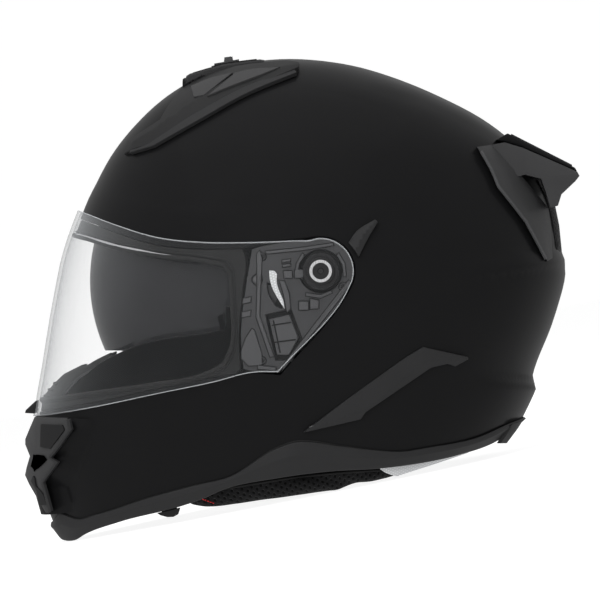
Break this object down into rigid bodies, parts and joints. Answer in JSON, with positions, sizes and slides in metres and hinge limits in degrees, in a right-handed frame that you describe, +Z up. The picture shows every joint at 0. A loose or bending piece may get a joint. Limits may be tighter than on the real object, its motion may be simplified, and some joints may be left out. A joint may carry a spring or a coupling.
{
  "type": "full-face motorcycle helmet",
  "caption": "Full-face motorcycle helmet with lifting clear visor, drop-down smoked inner visor, vents, rear spoiler and ratchet chin strap.",
  "frame": {"origin": "centre of the overall box at floor level, where the helmet rests on its chin and neck roll", "axes": "+Z up; the helmet faces -Y; +X is the wearer's left"},
  "size_m": [0.2568, 0.359, 0.2653],
  "materials": {
    "shell_black": "gloss",
    "trim_grey": "satin",
    "foam_grey": "matte",
    "cloth_black": "knitted",
    "webbing_black": "woven",
    "reflective_silver": "reflective",
    "clear_plastic": "clear",
    "smoke_plastic": "smoked",
    "mesh_black": "matte",
    "steel": "brushed",
    "red_plastic": "gloss",
    "rubber_black": "matte"
  },
  "bodies": {
    "helmet": {"outer_shell": "shell_black", "impact_liner": "foam_grey", "chin_liner": "foam_grey", "crown_pad": "cloth_black", "cheek_pad_left": "cloth_black", "cheek_pad_right": "cloth_black", "neck_roll": "cloth_black", "reflector_left": "reflective_silver", "reflector_right": "reflective_silver", "chin_curtain": "cloth_black", "rim_trim": "trim_grey", "rear_rim_clip": "trim_grey", "eyeport_seal": "rubber_black", "breath_guard": "rubber_black", "base_plate_left": "trim_grey", "base_plate_right": "trim_grey", "base_plate_screws": "steel", "pivot_hub_left": "trim_grey", "pivot_hub_right": "trim_grey", "detent_spring_left": "steel", "detent_spring_right": "steel", "sun_visor_pivot_left": "steel", "sun_visor_pivot_right": "steel", "top_vent_housing": "trim_grey", "top_vent_mesh": "mesh_black", "chin_vent_housing": "trim_grey", "rear_spoiler": "trim_grey", "spoiler_top_plate": "shell_black", "rear_vent_mesh": "mesh_black", "side_blade_left": "trim_grey", "side_blade_right": "trim_grey", "visor_fin_left": "trim_grey", "visor_fin_right": "trim_grey", "strap_left": "webbing_black", "strap_right": "webbing_black", "strap_rivets": "steel", "strap_pad_left": "cloth_black", "strap_pad_right": "cloth_black", "buckle_housing": "steel", "buckle_tongue": "steel"},
    "visor": {"visor_lens": "clear_plastic", "visor_boss_left": "clear_plastic", "visor_boss_right": "clear_plastic", "visor_lift_tab": "trim_grey"},
    "sun_visor": {"sun_visor_lens": "smoke_plastic", "sun_visor_arm_left": "trim_grey", "sun_visor_arm_right": "trim_grey"},
    "sun_visor_lever": {"sun_visor_lever": "trim_grey"},
    "top_vent_slider": {"top_vent_slider": "trim_grey"},
    "chin_vent_shutter": {"chin_vent_shutter": "trim_grey"},
    "release_left": {"visor_release_left": "trim_grey"},
    "release_right": {"visor_release_right": "trim_grey"},
    "buckle_lever": {"buckle_lever": "red_plastic"}
  },
  "joints": [
    {"name": "visor_hinge", "type": "hinge", "parent": "helmet", "child": "visor", "pos_m": [0, 0.01805, 0.1279], "axis": [-1, 0, 0], "range_deg": [0, 55]},
    {"name": "sun_visor_hinge", "type": "hinge", "parent": "helmet", "child": "sun_visor", "pos_m": [0, -0.01921, 0.13031], "axis": [-1, 0, 0], "range_deg": [0, 45]},
    {"name": "sun_visor_lever_slide", "type": "slide", "parent": "helmet", "child": "sun_visor_lever", "axis": [-0.4983, -0.8651, -0.0578], "range_m": [0, 0.0141]},
    {"name": "top_vent_slide", "type": "slide", "parent": "helmet", "child": "top_vent_slider", "axis": [0, 0.9996, -0.0297], "range_m": [0, 0.008]},
    {"name": "chin_vent_slide", "type": "slide", "parent": "helmet", "child": "chin_vent_shutter", "axis": [0, -0.5624, -0.8269], "range_m": [0, 0.004]},
    {"name": "visor_release_left_slide", "type": "slide", "parent": "helmet", "child": "release_left", "axis": [0, -0.4837, -0.8752], "range_m": [0, 0.0025], "stiffness_N_per_m": 300},
    {"name": "visor_release_right_slide", "type": "slide", "parent": "helmet", "child": "release_right", "axis": [0, -0.4837, -0.8752], "range_m": [0, 0.0025], "stiffness_N_per_m": 300},
    {"name": "buckle_lever_hinge", "type": "hinge", "parent": "helmet", "child": "buckle_lever", "pos_m": [0, 0.00042, 0.01516], "axis": [0, 0.9803, -0.1977], "range_deg": [0, 45], "stiffness_Nm_per_rad": 0.02, "springref_deg": -11.46}
  ],
  "couplings": [
    {"joint": "sun_visor_lever_slide", "follows": "sun_visor_hinge", "m_per_rad": 0.0178}
  ]
}
